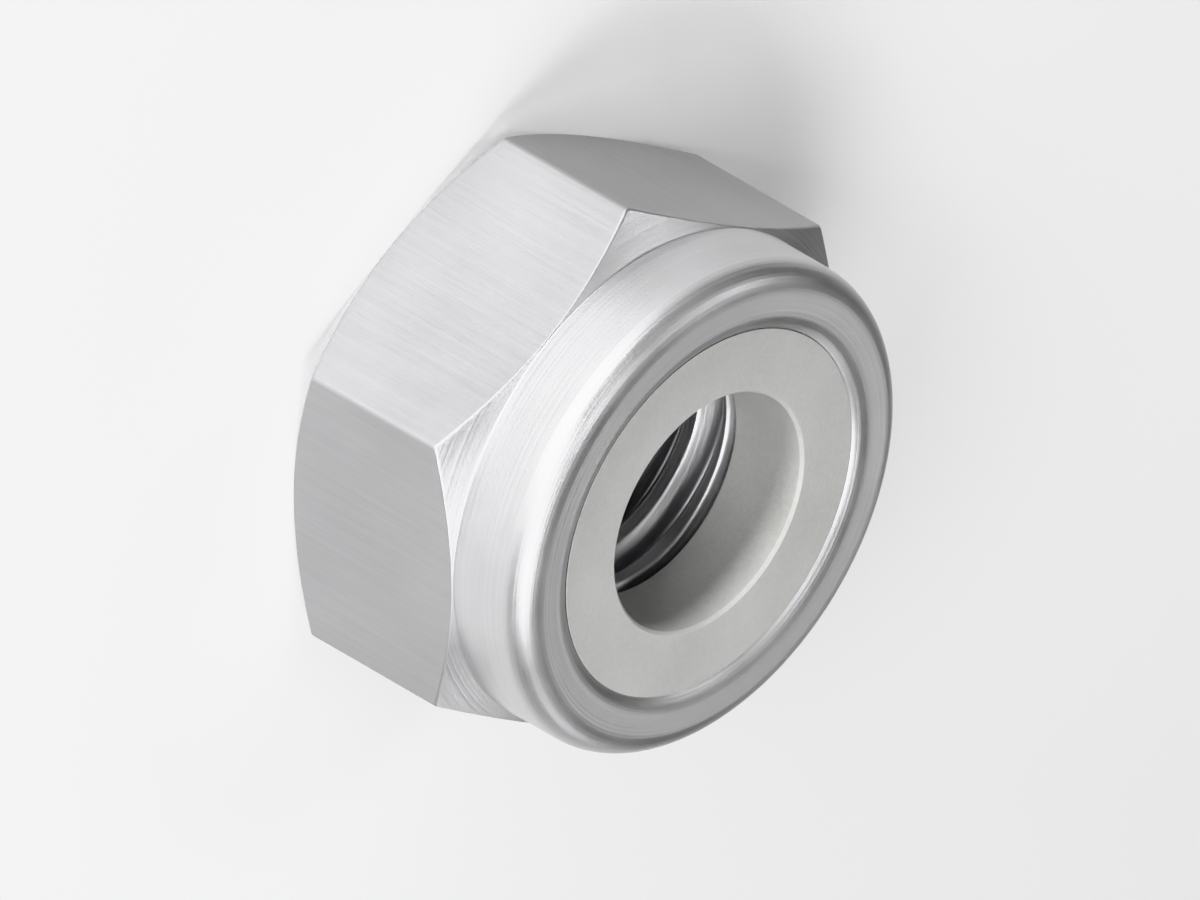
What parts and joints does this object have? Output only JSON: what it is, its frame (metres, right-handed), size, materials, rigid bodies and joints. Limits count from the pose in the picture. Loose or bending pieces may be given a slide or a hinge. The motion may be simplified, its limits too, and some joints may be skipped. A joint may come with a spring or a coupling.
{
  "type": "lock nut",
  "caption": "Low-form hexagon lock nut with a rolled collar that holds a plastic ring, which grips the bolt's thread.",
  "frame": {"origin": "centre of the bearing face, on the thread's axis", "axes": "+Z along the thread from the bearing face to the collar, X through two opposite corners of the hexagon, Y square to two opposite flats"},
  "size_m": [0.0196, 0.017, 0.01],
  "materials": {
    "zinc_steel": "steel with bright zinc plating, turned on the faces and the collar, drawn on the flats",
    "polyamide": "moulded natural polyamide, semi-matt"
  },
  "bodies": {
    "root": {"nut_body": "zinc_steel", "insert_ring": "polyamide"}
  },
  "joints": []
}
